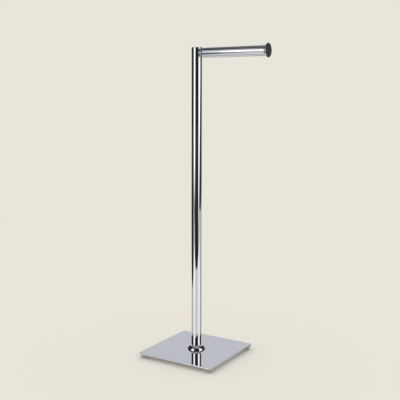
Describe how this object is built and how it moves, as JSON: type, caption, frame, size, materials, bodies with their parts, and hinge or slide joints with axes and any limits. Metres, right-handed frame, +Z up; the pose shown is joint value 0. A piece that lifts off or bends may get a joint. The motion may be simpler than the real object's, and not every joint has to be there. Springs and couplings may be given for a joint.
{
  "type": "freestanding toilet paper holder",
  "caption": "Freestanding toilet roll holder: square chromed plate on soft feet, upright tube post with a domed collar, and a level tube arm with a flared end button.",
  "frame": {"origin": "on the floor, under the middle of the whole outline, which runs from the rear side of the plate to the face of the button", "axes": "+Z up along the post, +X along the arm towards its button, +Y to the left when one looks along the arm"},
  "size_m": [0.2546, 0.18, 0.6593],
  "materials": {
    "chrome": "mirror-polished chrome plating",
    "foot_rubber": "clear soft rubber, slightly clouded",
    "zinc_steel": "zinc-plated, satin",
    "plain_steel": "plain machined steel"
  },
  "bodies": {
    "root": {"base_plate": "chrome", "foot_front_left": "foot_rubber", "foot_front_right": "foot_rubber", "foot_rear_left": "foot_rubber", "foot_rear_right": "foot_rubber", "post_collar": "chrome", "post_tube": "chrome", "post_top_cap": "chrome", "post_head_insert": "plain_steel", "post_foot_insert": "plain_steel", "base_screw": "zinc_steel", "base_washer": "zinc_steel", "arm_neck": "chrome", "arm_stud": "zinc_steel", "arm_root_plug": "chrome", "arm_tube": "chrome", "arm_end_button": "chrome"}
  },
  "joints": []
}
